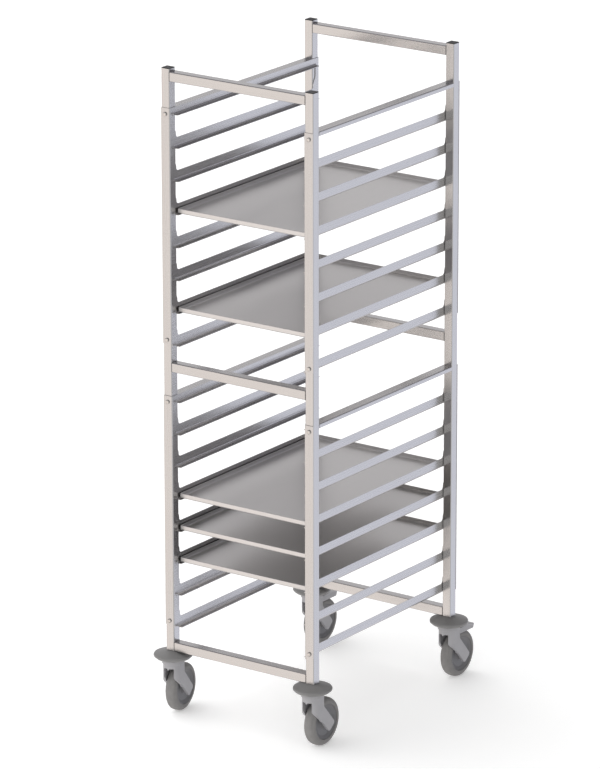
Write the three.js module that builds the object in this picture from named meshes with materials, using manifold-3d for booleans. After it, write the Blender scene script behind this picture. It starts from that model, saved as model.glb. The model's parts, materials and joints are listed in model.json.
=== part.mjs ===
// Sheet pan rack: two welded tube end frames joined by four bent sheet side panels whose
// runners carry 600 x 400 mm sheet pans, standing on four swivel castors.
// Millimetres, +Z up, X across the rack, Y along the pans, front at -Y.

import * as THREE from 'three';
import { mergeVertices } from 'three/addons/utils/BufferGeometryUtils.js';
import Module from 'manifold-3d';

const wasm = await Module();
wasm.setup();

// ---------------------------------------------------------------- driving dimensions

const GAP = 0.3;                    // air between neighbouring pieces

// End frames, square tube
const TUBE = 25;
const TUBE_WALL = 1.5;
const TUBE_CORNER = 2.5;
const POST_SPACING_X = 435;         // post centre to post centre, across
const POST_SPACING_Y = 615;         // post centre to post centre, front to back
const POST_FOOT = 175;              // underside of the posts above the floor
const POST_LENGTH = 1527.7;
const RAIL_HEIGHTS = [0, 744.5, 1496];   // underside of each rail above the post foot
const VENT_RADIUS = 3;              // weld vent from each rail into its post

// Side panels, bent sheet
const SHEET = 1.5;
const RUNNERS_PER_PANEL = 8;
const RUNNER_PITCH = 85.5;
const PANEL_BASES = { lower: 63, upper: 810 };   // underside of the lowest runner above the post foot
const PANEL_HEADROOM = 19.5;        // panel top above the underside of its top runner
const BAR_HEIGHT = 26;              // web left standing above each runner
const BEND_RADIUS = 6;              // inside the runner's bend
const RUNNER_REACH = 15;            // runner tip from the post's inner face
const RUNNER_HALF_LENGTH = 306;
const WINDOW_HALF_LENGTH = 296;
const WINDOW_CORNER = 8;
const FLARE_RADIUS = 25;            // curve from the window's side out to the notch
const NOTCH_DROP = 29;              // straight part of the wider notch under each runner
const SLIT_END = 318;               // relief slit beside each runner runs out to here
const TOP_LIP = 11;                 // lip hanging from the outer edge of the top flange
const SCREW_INSET_TOP = 16;
const SCREW_INSET_BASE = 18;
const PANEL_EDGE = 1;               // web's lower edge above the underside of the last runner
const FLANGE_EDGE = 8;              // end flanges' lower edge above the same level
const CORNER_BEND = 3;              // outside radius of the bend round each post

// Panel screws, M6 button head
const SCREW_RADIUS = 3;
const SCREW_HEAD_RADIUS = 5.25;
const SCREW_HEAD_HEIGHT = 3.3;
const SCREW_LENGTH = 12;

// Sheet pans, 600 x 400 mm
const PAN_WIDTH = 400;
const PAN_LENGTH = 600;
const PAN_HEIGHT = 13;
const PAN_SHEET = 1.5;
const PAN_BEVEL = 4;
const PAN_SET_BACK = 2;             // pans stand this far behind the rack's middle
const PAN_LEVELS = [4, 7, 12, 13, 14];   // counted from the top

// Plastic end caps
const CAP_HEAD = 1.5;
const CAP_PLUG = 12;

// Castors
const BUMPER_RADIUS = 50;
const BUMPER_THICKNESS = 23.5;      // domed top included
const BUMPER_BORE = 7;
const SWIVEL_PIN_RADIUS = 6;
const RACE_RADIUS = 20;
const RACE_THICKNESS = 1.4;
const PIN_HEAD_RADIUS = 9;
const PIN_HEAD_THICKNESS = 3;
const EXPANDER_LENGTH = 55;
const FORK_RADIUS = 29;
const FORK_COLLAR_BASE = 36;        // underside of the fork's round collar below the post foot
const FORK_HALF_WIDTH = 24;
const FORK_SLOT = 17.5;             // half the width of the slot that the wheel runs in
const FORK_NOSE = -4.5;             // centre of the fork's round front, from the swivel axis
const FORK_WINDOW = { halfWidth: 14, top: -45 };     // cut through the front wall, open below
const WHEEL_RADIUS = 62.5;          // to the middle of a tread facet
const WHEEL_SEGMENTS = 24;
const WHEEL_HALF_WIDTH = 15.5;
const RIM_RADIUS = 46;
const WHEEL_TRAIL = 38.5;
const AXLE_RADIUS = 6;
const AXLE_HALF_LENGTH = 21.2;

// Foot brakes, back castors only. y runs back from the swivel axis, z up from the post foot.
const PEDAL_PIVOT = { y: 10, z: -47 };
const PEDAL_HUB_RADIUS = 5.5;
const PEDAL_PIN_RADIUS = 3;
const PEDAL_PIN_HALF_LENGTH = 21;
const PEDAL_HALF_WIDTH = 19;
const PEDAL_NECK_HALF_WIDTH = 17.2;
const PEDAL_TIP = 89;
const PEDAL_SHEET = 4;

const CORNERS = {
  front_left: { x: -1, y: -1, turn: 8.5, brake: false },
  front_right: { x: 1, y: -1, turn: 0, brake: false },
  back_left: { x: -1, y: 1, turn: 0, brake: true },
  back_right: { x: 1, y: 1, turn: 0, brake: true },
};

// ---------------------------------------------------------------- values worked out from those

const HALF_TUBE = TUBE / 2;
const POST_X = POST_SPACING_X / 2;
const POST_Y = POST_SPACING_Y / 2;
const POST_INNER_X = POST_X - HALF_TUBE;
const POST_OUTER_X = POST_X + HALF_TUBE;
const POST_INNER_Y = POST_Y - HALF_TUBE;
const POST_OUTER_Y = POST_Y + HALF_TUBE;
const BORE = TUBE - 2 * TUBE_WALL;
const PANEL_HEIGHT = (RUNNERS_PER_PANEL - 1) * RUNNER_PITCH + PANEL_HEADROOM;
const WEB_OUT = POST_INNER_X - GAP;         // web face against the post
const WEB_IN = WEB_OUT - SHEET;             // web face towards the pans
const FLANGE_IN = POST_OUTER_Y + GAP;       // end flange face against the post
const FLANGE_OUT = FLANGE_IN + SHEET;
const WEB_END = FLANGE_OUT - CORNER_BEND;   // flat part of the web stops here
const BEND_TOP = SHEET + BEND_RADIUS;
const SCREW_HEIGHTS = [SCREW_INSET_BASE, PANEL_HEIGHT - SCREW_INSET_TOP];
const AXLE_Z = WHEEL_RADIUS - POST_FOOT;    // below the post foot

// The footprint runs from the front bumper discs to the tread of the back wheels
const FOOTPRINT_FRONT = -POST_Y - BUMPER_RADIUS;
const TREAD_CORNER_RADIUS = WHEEL_RADIUS / Math.cos(Math.PI / WHEEL_SEGMENTS);
const FOOTPRINT_BACK = POST_Y + WHEEL_TRAIL + WHEEL_RADIUS;
const CENTRE_SHIFT = -(FOOTPRINT_FRONT + FOOTPRINT_BACK) / 2;

// ---------------------------------------------------------------- materials

const steel = (color, roughness) =>
  new THREE.MeshStandardMaterial({ color, roughness, metalness: 1 });
const plastic = (color, roughness) =>
  new THREE.MeshStandardMaterial({ color, roughness, metalness: 0 });

const tubeSteel = steel(0xcfcac4, 0.36);
const sheetSteel = steel(0xbfc2ca, 0.32);
const panSteel = steel(0xa9a7a8, 0.4);
const screwSteel = steel(0xa39c94, 0.3);
const axleSteel = steel(0x9a9a9c, 0.3);
const capPlastic = plastic(0x1c1b1c, 0.5);
const bumperPlastic = plastic(0x6c6c6b, 0.6);
const forkPlastic = plastic(0x9c9c9d, 0.5);
const rimPlastic = plastic(0x68686c, 0.55);
const tyreRubber = plastic(0x7b7978, 0.7);

// ---------------------------------------------------------------- solids

function toSolid(geometry) {
  const bare = geometry.clone();
  bare.deleteAttribute('normal');
  bare.deleteAttribute('uv');
  const merged = mergeVertices(bare, 1e-4);
  return new wasm.Manifold(new wasm.Mesh({
    numProp: 3,
    vertProperties: new Float32Array(merged.attributes.position.array),
    triVerts: new Uint32Array(merged.index.array),
  }));
}

function toGeometry(solid) {
  const { vertProperties, triVerts } = solid.getMesh();
  const geometry = new THREE.BufferGeometry();
  geometry.setAttribute('position', new THREE.BufferAttribute(vertProperties, 3));
  geometry.setIndex(new THREE.BufferAttribute(triVerts, 1));
  geometry.computeVertexNormals();
  return geometry;
}

function union(solids) {
  return solids.reduce((whole, next) => whole.add(next));
}

function cut(body, solids) {
  return solids.reduce((whole, next) => whole.subtract(next), body);
}

// A box between two limits on each axis
function block([x0, x1], [y0, y1], [z0, z1]) {
  const geometry = new THREE.BoxGeometry(x1 - x0, y1 - y0, z1 - z0);
  geometry.translate((x0 + x1) / 2, (y0 + y1) / 2, (z0 + z1) / 2);
  return toSolid(geometry);
}

function extruded(shape, depth, curveSegments) {
  return new THREE.ExtrudeGeometry(shape, { depth, curveSegments, bevelEnabled: false });
}

// Shape drawn in (x, y), swept up from z0 to z1
function sweptZ(shape, z0, z1, curveSegments = 1) {
  const geometry = extruded(shape, z1 - z0, curveSegments);
  geometry.translate(0, 0, z0);
  return toSolid(geometry);
}

// Shape drawn in (y, z), swept across from x0 to x1
function sweptX(shape, x0, x1, curveSegments = 1) {
  const geometry = extruded(shape, x1 - x0, curveSegments);
  geometry.applyMatrix4(new THREE.Matrix4().makeBasis(
    new THREE.Vector3(0, 1, 0), new THREE.Vector3(0, 0, 1), new THREE.Vector3(1, 0, 0)));
  geometry.translate(x0, 0, 0);
  return toSolid(geometry);
}

// Shape drawn in (x, z), swept back from y0 to y1
function sweptY(shape, y0, y1, curveSegments = 1) {
  const geometry = extruded(shape, y1 - y0, curveSegments);
  geometry.rotateX(Math.PI / 2);
  geometry.translate(0, y1, 0);
  return toSolid(geometry);
}

function polygon(points) {
  return new THREE.Shape(points.map(([u, v]) => new THREE.Vector2(u, v)));
}

function roundedSquare(side, radius, u = 0, v = 0) {
  const h = side / 2 - radius;
  const shape = new THREE.Shape();
  shape.absarc(u + h, v + h, radius, 0, Math.PI / 2);
  shape.absarc(u - h, v + h, radius, Math.PI / 2, Math.PI);
  shape.absarc(u - h, v - h, radius, Math.PI, Math.PI * 1.5);
  shape.absarc(u + h, v - h, radius, Math.PI * 1.5, Math.PI * 2);
  return shape;
}

// Profile of [radius, height] points, anticlockwise, turned about Z
function turned(profile, segments) {
  const points = profile.map(([r, h]) => new THREE.Vector2(r, h));
  const geometry = new THREE.LatheGeometry(points, segments);
  geometry.rotateX(Math.PI / 2);
  return geometry;
}

function turnedRing(profile, segments) {
  return turned([...profile, profile[0]], segments);
}

function rodZ(radius, z0, z1, segments = 12) {
  return toSolid(turned([[0, z0], [radius, z0], [radius, z1], [0, z1]], segments));
}

function rodX(radius, x0, x1, y, z, segments = 12) {
  const geometry = turned([[0, x0], [radius, x0], [radius, x1], [0, x1]], segments);
  geometry.rotateY(Math.PI / 2);
  geometry.translate(0, y, z);
  return toSolid(geometry);
}

function rodY(radius, y0, y1, x, z, segments = 8) {
  const geometry = turned([[0, -y1], [radius, -y1], [radius, -y0], [0, -y0]], segments);
  geometry.rotateX(Math.PI / 2);
  geometry.translate(x, 0, z);
  return toSolid(geometry);
}

function piece(name, shape, material) {
  const geometry = shape instanceof THREE.BufferGeometry ? shape : toGeometry(shape);
  const mesh = new THREE.Mesh(geometry, material);
  mesh.name = name;
  return mesh;
}

// ---------------------------------------------------------------- end frames

// Heights above the post foot of every panel screw on a post
function screwHeights() {
  return Object.values(PANEL_BASES).flatMap((base) => SCREW_HEIGHTS.map((h) => base + h));
}

// A welded ladder of two posts and three rails in the plane y = 0, outer face at side * HALF_TUBE
function endFrame(side) {
  const posts = [-POST_X, POST_X].map((x) =>
    sweptZ(roundedSquare(TUBE, TUBE_CORNER, x), 0, POST_LENGTH));
  const rails = RAIL_HEIGHTS.map((height) =>
    sweptX(roundedSquare(TUBE, TUBE_CORNER, 0, height + HALF_TUBE), -POST_X, POST_X));
  const postBores = [-POST_X, POST_X].map((x) =>
    sweptZ(roundedSquare(BORE, TUBE_CORNER - TUBE_WALL, x), -1, POST_LENGTH + 1));
  const railBores = RAIL_HEIGHTS.map((height) =>
    sweptX(roundedSquare(BORE, TUBE_CORNER - TUBE_WALL, 0, height + HALF_TUBE),
      -POST_INNER_X, POST_INNER_X));
  const vents = RAIL_HEIGHTS.map((height) =>
    rodX(VENT_RADIUS, -POST_X, POST_X, 0, height + HALF_TUBE, 8));
  const holeEnds = side > 0 ? [0, TUBE] : [-TUBE, 0];
  const screwHoles = [-POST_X, POST_X].flatMap((x) => screwHeights().map((z) =>
    rodY(SCREW_RADIUS + GAP, ...holeEnds, x, z)));
  return cut(union([...posts, ...rails]), [...postBores, ...railBores, ...vents, ...screwHoles]);
}

function endCap() {
  const head = sweptZ(roundedSquare(TUBE, TUBE_CORNER), GAP, GAP + CAP_HEAD);
  const plug = sweptZ(roundedSquare(BORE - 2 * GAP, TUBE_CORNER - TUBE_WALL), -CAP_PLUG, CAP_HEAD);
  return head.add(plug);
}

// ---------------------------------------------------------------- side panels

// Opening between two runners, drawn in (y, z): round lower corners, and a wider notch with
// a relief slit each side where the runner above is bent out of the web
function windowOutline(sill, runner) {
  const r = WINDOW_CORNER;
  const flareAngle = Math.acos(1 - (RUNNER_HALF_LENGTH - WINDOW_HALF_LENGTH) / FLARE_RADIUS);
  const flareY = WINDOW_HALF_LENGTH + FLARE_RADIUS;
  const flareZ = runner - NOTCH_DROP - FLARE_RADIUS * Math.sin(flareAngle);
  const outline = new THREE.Path();
  outline.absarc(WINDOW_HALF_LENGTH - r, sill + r, r, -Math.PI / 2, 0);
  outline.absarc(flareY, flareZ, FLARE_RADIUS, Math.PI, Math.PI - flareAngle, true);
  outline.lineTo(RUNNER_HALF_LENGTH, runner - PANEL_EDGE);
  outline.lineTo(SLIT_END, runner - PANEL_EDGE);
  outline.lineTo(SLIT_END, runner + PANEL_EDGE);
  outline.lineTo(RUNNER_HALF_LENGTH, runner + PANEL_EDGE);
  outline.lineTo(RUNNER_HALF_LENGTH, runner + BEND_TOP);
  outline.lineTo(-RUNNER_HALF_LENGTH, runner + BEND_TOP);
  outline.lineTo(-RUNNER_HALF_LENGTH, runner + PANEL_EDGE);
  outline.lineTo(-SLIT_END, runner + PANEL_EDGE);
  outline.lineTo(-SLIT_END, runner - PANEL_EDGE);
  outline.lineTo(-RUNNER_HALF_LENGTH, runner - PANEL_EDGE);
  outline.absarc(-flareY, flareZ, FLARE_RADIUS, flareAngle, 0, true);
  outline.absarc(-WINDOW_HALF_LENGTH + r, sill + r, r, Math.PI, Math.PI * 1.5);
  return outline;
}

function panelWeb() {
  const outline = polygon([
    [-WEB_END, PANEL_EDGE],
    [-RUNNER_HALF_LENGTH, PANEL_EDGE],
    [-RUNNER_HALF_LENGTH, BEND_TOP],
    [RUNNER_HALF_LENGTH, BEND_TOP],
    [RUNNER_HALF_LENGTH, PANEL_EDGE],
    [WEB_END, PANEL_EDGE],
    [WEB_END, PANEL_HEIGHT],
    [-WEB_END, PANEL_HEIGHT],
  ]);
  for (let level = 0; level < RUNNERS_PER_PANEL - 1; level += 1) {
    const sill = level * RUNNER_PITCH + BAR_HEIGHT;
    outline.holes.push(windowOutline(sill, (level + 1) * RUNNER_PITCH));
  }
  return sweptX(outline, WEB_IN, WEB_OUT);
}

// Runner section in (x, z): web root at the top, a wide bend, then a flat tongue to the tip
function runner(height) {
  const bendX = WEB_IN - BEND_RADIUS;
  const bendZ = height + BEND_TOP;
  const tip = POST_INNER_X - RUNNER_REACH;
  const root = bendZ + SHEET;
  const section = new THREE.Shape();
  section.moveTo(tip, height);
  section.absarc(bendX, bendZ, BEND_RADIUS + SHEET, -Math.PI / 2, 0);
  section.lineTo(WEB_OUT, root);
  section.lineTo(WEB_IN, root);
  section.absarc(bendX, bendZ, BEND_RADIUS, 0, -Math.PI / 2, true);
  section.lineTo(tip, height + SHEET);
  return sweptY(section, -RUNNER_HALF_LENGTH, RUNNER_HALF_LENGTH);
}

// Web end bent round the post's corner and out over its face, drawn in (x, y) for the +Y end
function endFlange(side) {
  const shape = new THREE.Shape();
  shape.moveTo(POST_OUTER_X, FLANGE_OUT);
  shape.absarc(WEB_IN + CORNER_BEND, FLANGE_OUT - CORNER_BEND, CORNER_BEND, Math.PI / 2, Math.PI);
  shape.lineTo(WEB_IN, WEB_END - CORNER_BEND);
  shape.lineTo(WEB_OUT, WEB_END - CORNER_BEND);
  shape.lineTo(WEB_OUT, FLANGE_IN);
  shape.lineTo(POST_OUTER_X, FLANGE_IN);
  const points = shape.getPoints(1).map(({ x, y }) => [x, side * y]);
  return sweptZ(polygon(points), FLANGE_EDGE, PANEL_HEIGHT);
}

// Right-hand panel, standing on z = 0 at the underside of its lowest runner
function sidePanel() {
  const endFlanges = [-1, 1].map(endFlange);
  const topReach = POST_INNER_Y - GAP;
  const topFlange = block([WEB_IN, POST_OUTER_X], [-topReach, topReach],
    [PANEL_HEIGHT - SHEET, PANEL_HEIGHT]);
  const topLip = block([POST_OUTER_X - SHEET, POST_OUTER_X], [-topReach, topReach],
    [PANEL_HEIGHT - TOP_LIP, PANEL_HEIGHT]);
  const runners = [];
  for (let level = 0; level < RUNNERS_PER_PANEL; level += 1) {
    runners.push(runner(level * RUNNER_PITCH));
  }
  const holes = SCREW_HEIGHTS.flatMap((z) => [
    rodY(SCREW_RADIUS + GAP, FLANGE_IN - 1, FLANGE_OUT + 1, POST_X, z),
    rodY(SCREW_RADIUS + GAP, -FLANGE_OUT - 1, -FLANGE_IN + 1, POST_X, z),
  ]);
  return cut(union([panelWeb(), ...endFlanges, topFlange, topLip, ...runners]), holes);
}

// Domed screw, head seated on z = 0 and pointing up, shank down
function panelScrew() {
  return turned([
    [0, -SCREW_LENGTH],
    [SCREW_RADIUS, -SCREW_LENGTH],
    [SCREW_RADIUS, 0],
    [SCREW_HEAD_RADIUS, 0],
    [SCREW_HEAD_RADIUS * 0.7, SCREW_HEAD_HEIGHT],
    [0, SCREW_HEAD_HEIGHT],
  ], 8);
}

// ---------------------------------------------------------------- sheet pans

// Box with bevelled lower edges
function bevelledBox(width, length, base, height, bevel) {
  const shape = polygon([
    [-width / 2, -length / 2], [width / 2, -length / 2], [width / 2, length / 2], [-width / 2, length / 2],
  ]);
  const geometry = new THREE.ExtrudeGeometry(shape, {
    depth: height, bevelThickness: bevel, bevelSize: bevel, bevelOffset: -bevel, bevelSegments: 1,
  });
  geometry.translate(0, 0, base + bevel);
  return toSolid(geometry);
}

function sheetPan() {
  const clearWidth = PAN_WIDTH - 2 * PAN_SHEET;
  const clearLength = PAN_LENGTH - 2 * PAN_SHEET;
  const outside = bevelledBox(PAN_WIDTH, PAN_LENGTH, 0, PAN_HEIGHT, PAN_BEVEL);
  const inside = bevelledBox(clearWidth, clearLength, PAN_SHEET, PAN_HEIGHT, PAN_BEVEL);
  const above = block([-PAN_WIDTH, PAN_WIDTH], [-PAN_LENGTH, PAN_LENGTH], [PAN_HEIGHT, PAN_HEIGHT * 3]);
  return cut(outside, [inside, above]);
}

// Underside of a runner above the post foot, levels counted from the top
function runnerHeight(level) {
  const upper = level <= RUNNERS_PER_PANEL;
  const fromBase = upper ? RUNNERS_PER_PANEL - level : 2 * RUNNERS_PER_PANEL - level;
  return PANEL_BASES[upper ? 'upper' : 'lower'] + fromBase * RUNNER_PITCH;
}

// ---------------------------------------------------------------- castors
// Built about the swivel axis, z = 0 at the post foot, wheel trailing towards +Y.

// Square expander that grips inside the post, with the swivel pin turned below it
function castorStem() {
  const raceTop = -BUMPER_THICKNESS - GAP;
  const pinEnd = -FORK_COLLAR_BASE - 2 * GAP - SHEET;
  const turnedPart = toSolid(turned([
    [0, pinEnd - PIN_HEAD_THICKNESS],
    [PIN_HEAD_RADIUS, pinEnd - PIN_HEAD_THICKNESS],
    [PIN_HEAD_RADIUS, pinEnd],
    [SWIVEL_PIN_RADIUS, pinEnd],
    [SWIVEL_PIN_RADIUS, raceTop - RACE_THICKNESS],
    [RACE_RADIUS, raceTop - RACE_THICKNESS],
    [RACE_RADIUS, raceTop],
    [SWIVEL_PIN_RADIUS, raceTop],
    [SWIVEL_PIN_RADIUS, EXPANDER_LENGTH / 2],
    [0, EXPANDER_LENGTH / 2],
  ], 12));
  const expander = sweptZ(roundedSquare(BORE - 2 * GAP, TUBE_CORNER - TUBE_WALL), 1, EXPANDER_LENGTH);
  return turnedPart.add(expander);
}

// Disc with a narrow rim: its top slopes up to the foot of the post and its underside rises
// towards the rim
function bumperDisc() {
  const rimHeight = -13;
  return turnedRing([
    [BUMPER_BORE, -BUMPER_THICKNESS],
    [RACE_RADIUS + 10, -BUMPER_THICKNESS],
    [BUMPER_RADIUS - 6, rimHeight - 8],
    [BUMPER_RADIUS, rimHeight - 1],
    [BUMPER_RADIUS - 1.5, rimHeight + 3],
    [17, -GAP],
    [BUMPER_BORE, -GAP],
  ], 24);
}

// Side view of the fork in (y, z): round collar above, one wide arm running down past the axle
function forkSide() {
  const behindAxle = 16;            // arm's edges either side of the line through the axle
  const beforeAxle = 15;
  const webEdge = 17.5;             // front edge where the round web still joins the arm
  const webEnd = -28;               // the web stops this far short of the axle
  const reachPastAxle = 19.5;
  const lean = Math.PI * 0.274;
  const back = 16.3;
  const armpit = -62;               // height where the arm leaves the collar behind
  const skirtFoot = [[-FORK_RADIUS, -68], [-25, -69]];   // foot of the round front wall
  const knee = [[-3, -91.5], [0, -92.5]];                // front edge turns towards the axle
  const along = new THREE.Vector2(Math.cos(lean), -Math.sin(lean));
  const across = new THREE.Vector2(Math.sin(lean), Math.cos(lean));
  const axle = new THREE.Vector2(WHEEL_TRAIL, AXLE_Z);
  const end = axle.clone().addScaledVector(along, reachPastAxle);
  const corner = 7;
  const backAtEnd = end.clone().addScaledVector(across, behindAxle);
  const frontAtEnd = end.clone().addScaledVector(across, -beforeAxle);
  const atWebEnd = axle.clone().addScaledVector(along, webEnd);
  const shape = new THREE.Shape();
  shape.moveTo(-FORK_RADIUS, -FORK_COLLAR_BASE + SHEET);
  for (const [y, z] of [...skirtFoot, ...knee]) {
    shape.lineTo(y, z);
  }
  for (const inset of [webEdge, beforeAxle]) {
    const edge = atWebEnd.clone().addScaledVector(across, -inset);
    shape.lineTo(edge.x, edge.y);
  }
  const intoFront = frontAtEnd.clone().addScaledVector(along, -corner);
  shape.lineTo(intoFront.x, intoFront.y);
  const outOfFront = frontAtEnd.clone().addScaledVector(across, corner);
  shape.quadraticCurveTo(frontAtEnd.x, frontAtEnd.y, outOfFront.x, outOfFront.y);
  const intoBack = backAtEnd.clone().addScaledVector(across, -corner);
  shape.lineTo(intoBack.x, intoBack.y);
  const outOfBack = backAtEnd.clone().addScaledVector(along, -corner);
  shape.quadraticCurveTo(backAtEnd.x, backAtEnd.y, outOfBack.x, outOfBack.y);
  shape.lineTo(back, armpit);
  shape.lineTo(back, -FORK_COLLAR_BASE + SHEET);
  return shape;
}

// Fork or slot in plan, (x, y): a round nose in front and straight sides behind
function nosePlan(halfWidth) {
  const shape = new THREE.Shape();
  shape.absarc(0, FORK_NOSE, halfWidth, Math.PI, Math.PI * 2);
  shape.lineTo(halfWidth, POST_FOOT);
  shape.lineTo(-halfWidth, POST_FOOT);
  return shape;
}

function castorFork(brake) {
  const top = -BUMPER_THICKNESS - GAP;
  const collar = rodZ(FORK_RADIUS, -FORK_COLLAR_BASE, top, 24);
  const plan = sweptZ(nosePlan(FORK_HALF_WIDTH), -POST_FOOT, 0, 12);
  const arms = sweptX(forkSide(), -FORK_HALF_WIDTH, FORK_HALF_WIDTH).intersect(plan);
  const slotTop = -FORK_COLLAR_BASE - SHEET;
  const slot = sweptZ(nosePlan(FORK_SLOT), -POST_FOOT, slotTop, 8);
  const frontWindow = block([-FORK_WINDOW.halfWidth, FORK_WINDOW.halfWidth], [-POST_FOOT, 0],
    [-POST_FOOT, FORK_WINDOW.top]);
  const pinBore = rodZ(SWIVEL_PIN_RADIUS + GAP, -POST_FOOT, 0);
  const raceRecess = rodZ(RACE_RADIUS + 4 * GAP, top - RACE_THICKNESS - GAP, 0);
  const axleBore = rodX(AXLE_RADIUS + GAP, -AXLE_HALF_LENGTH - GAP, AXLE_HALF_LENGTH + GAP,
    WHEEL_TRAIL, AXLE_Z);
  const cuts = [slot, frontWindow, pinBore, raceRecess, axleBore];
  if (brake) {
    cuts.push(rodX(PEDAL_PIN_RADIUS + GAP, -PEDAL_PIN_HALF_LENGTH - GAP, PEDAL_PIN_HALF_LENGTH + GAP,
      PEDAL_PIVOT.y, PEDAL_PIVOT.z, 8));
  }
  return cut(collar.add(arms), cuts);
}

function aboutAxle(geometry) {
  geometry.rotateZ(Math.PI / WHEEL_SEGMENTS);
  geometry.rotateY(Math.PI / 2);
  geometry.translate(0, WHEEL_TRAIL, AXLE_Z);
  return geometry;
}

function castorAxle() {
  return rodX(AXLE_RADIUS, -AXLE_HALF_LENGTH, AXLE_HALF_LENGTH, WHEEL_TRAIL, AXLE_Z);
}

function wheelTyre() {
  const w = WHEEL_HALF_WIDTH;
  const tread = TREAD_CORNER_RADIUS;
  return aboutAxle(turnedRing([
    [RIM_RADIUS, -w],
    [tread - 10.5, -w],
    [tread - 5, -w + 2.5],
    [tread - 2, -w + 5.5],
    [tread, -w + 11.5],
    [tread, w - 11.5],
    [tread - 2, w - 5.5],
    [tread - 5, w - 2.5],
    [tread - 10.5, w],
    [RIM_RADIUS, w],
  ], WHEEL_SEGMENTS));
}

function wheelCentre() {
  const rim = RIM_RADIUS - GAP;
  const hub = FORK_SLOT - 2 * GAP;
  const bore = AXLE_RADIUS + GAP;
  const hubRadius = 16;
  const web = 9;
  return aboutAxle(turnedRing([
    [bore, -hub],
    [hubRadius, -hub],
    [hubRadius + 2, -web],
    [rim - 8, -web],
    [rim, -web - 4],
    [rim, web + 4],
    [rim - 8, web],
    [hubRadius + 2, web],
    [hubRadius, hub],
    [bore, hub],
  ], WHEEL_SEGMENTS));
}

function brakePedal() {
  const { y, z } = PEDAL_PIVOT;
  const bridge = 18;                // the plate starts here, behind the fork's collar
  const bend = 60;                  // and slopes down from here to its tip
  const crest = -38.5;
  const skirtBase = -54;
  const plate = polygon([
    [bridge, crest],
    [bridge, crest - PEDAL_SHEET],
    [bend, crest - PEDAL_SHEET],
    [PEDAL_TIP, crest - PEDAL_SHEET - 4],
    [PEDAL_TIP, crest - 3],
    [bend, crest],
  ]);
  const neck = sweptX(polygon([
    [y - 1, z + PEDAL_HUB_RADIUS - 0.2],
    [y + 4, z],
    [bridge + 2, crest - PEDAL_SHEET],
    [bridge + 2, crest],
    [bridge - 2, crest],
  ]), -PEDAL_NECK_HALF_WIDTH, PEDAL_NECK_HALF_WIDTH);
  const pad = sweptX(plate, -PEDAL_HALF_WIDTH, PEDAL_HALF_WIDTH);
  const hub = rodX(PEDAL_HUB_RADIUS, -PEDAL_NECK_HALF_WIDTH, PEDAL_NECK_HALF_WIDTH, y, z);
  const pin = rodX(PEDAL_PIN_RADIUS, -PEDAL_PIN_HALF_LENGTH, PEDAL_PIN_HALF_LENGTH, y, z, 8);
  const skirtOutline = polygon([
    [bridge, crest - 1],
    [bridge, skirtBase + 3],
    [bridge + 4, skirtBase + 1],
    [PEDAL_TIP - 3, skirtBase],
    [PEDAL_TIP, crest - 5],
  ]);
  const skirts = [-1, 1].map((side) => {
    const faces = [side * PEDAL_NECK_HALF_WIDTH, side * PEDAL_HALF_WIDTH].sort((a, b) => a - b);
    return sweptX(skirtOutline, ...faces);
  });
  return union([hub, pin, neck, pad, ...skirts]);
}

// Block under the pedal's plate that meets the tread when the pedal goes down
function brakeShoe() {
  const halfWidth = 14;
  const top = -42.8;
  const thickness = 3;
  const behindSwivel = [30, 48];
  return block([-halfWidth, halfWidth], behindSwivel, [top - thickness, top]);
}

// ---------------------------------------------------------------- assembly

const rack = new THREE.Group();
rack.position.y = CENTRE_SHIFT;

function place(mesh, x, y, z, parent = rack) {
  mesh.position.set(x, y, z);
  parent.add(mesh);
  return mesh;
}

place(piece('front_frame', endFrame(-1), tubeSteel), 0, -POST_Y, POST_FOOT);
place(piece('back_frame', endFrame(1), tubeSteel), 0, POST_Y, POST_FOOT);

for (const [corner, { x, y }] of Object.entries(CORNERS)) {
  place(piece(`end_cap_${corner}`, endCap(), capPlastic), x * POST_X, y * POST_Y, POST_FOOT + POST_LENGTH);
}

for (const [row, base] of Object.entries(PANEL_BASES)) {
  for (const [side, turn] of Object.entries({ right: 0, left: Math.PI })) {
    const panel = piece(`side_panel_${row}_${side}`, sidePanel(), sheetSteel);
    panel.rotation.z = turn;
    place(panel, 0, 0, POST_FOOT + base);
  }
}

for (const [corner, { x, y }] of Object.entries(CORNERS)) {
  screwHeights().forEach((height, index) => {
    const screw = piece(`panel_screw_${corner}_${index + 1}`, panelScrew(), screwSteel);
    screw.rotation.x = y > 0 ? -Math.PI / 2 : Math.PI / 2;
    place(screw, x * POST_X, y * (FLANGE_OUT + GAP), POST_FOOT + height);
  });
}

for (const level of PAN_LEVELS) {
  const name = `sheet_pan_${String(level).padStart(2, '0')}`;
  const height = POST_FOOT + runnerHeight(level) + SHEET + GAP;
  place(piece(name, sheetPan(), panSteel), 0, PAN_SET_BACK, height);
}

for (const [corner, { x, y, turn, brake }] of Object.entries(CORNERS)) {
  const castor = new THREE.Group();
  castor.position.set(x * POST_X, y * POST_Y, POST_FOOT);
  rack.add(castor);
  castor.add(piece(`castor_stem_${corner}`, castorStem(), axleSteel));
  castor.add(piece(`bumper_disc_${corner}`, bumperDisc(), bumperPlastic));
  const swivel = new THREE.Group();
  swivel.rotation.z = THREE.MathUtils.degToRad(turn);
  castor.add(swivel);
  swivel.add(piece(`castor_fork_${corner}`, castorFork(brake), forkPlastic));
  swivel.add(piece(`wheel_axle_${corner}`, castorAxle(), axleSteel));
  swivel.add(piece(`wheel_tyre_${corner}`, wheelTyre(), tyreRubber));
  swivel.add(piece(`wheel_centre_${corner}`, wheelCentre(), rimPlastic));
  if (brake) {
    swivel.add(piece(`brake_pedal_${corner}`, brakePedal(), forkPlastic));
    swivel.add(piece(`brake_shoe_${corner}`, brakeShoe(), axleSteel));
  }
}

export default rack;
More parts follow.
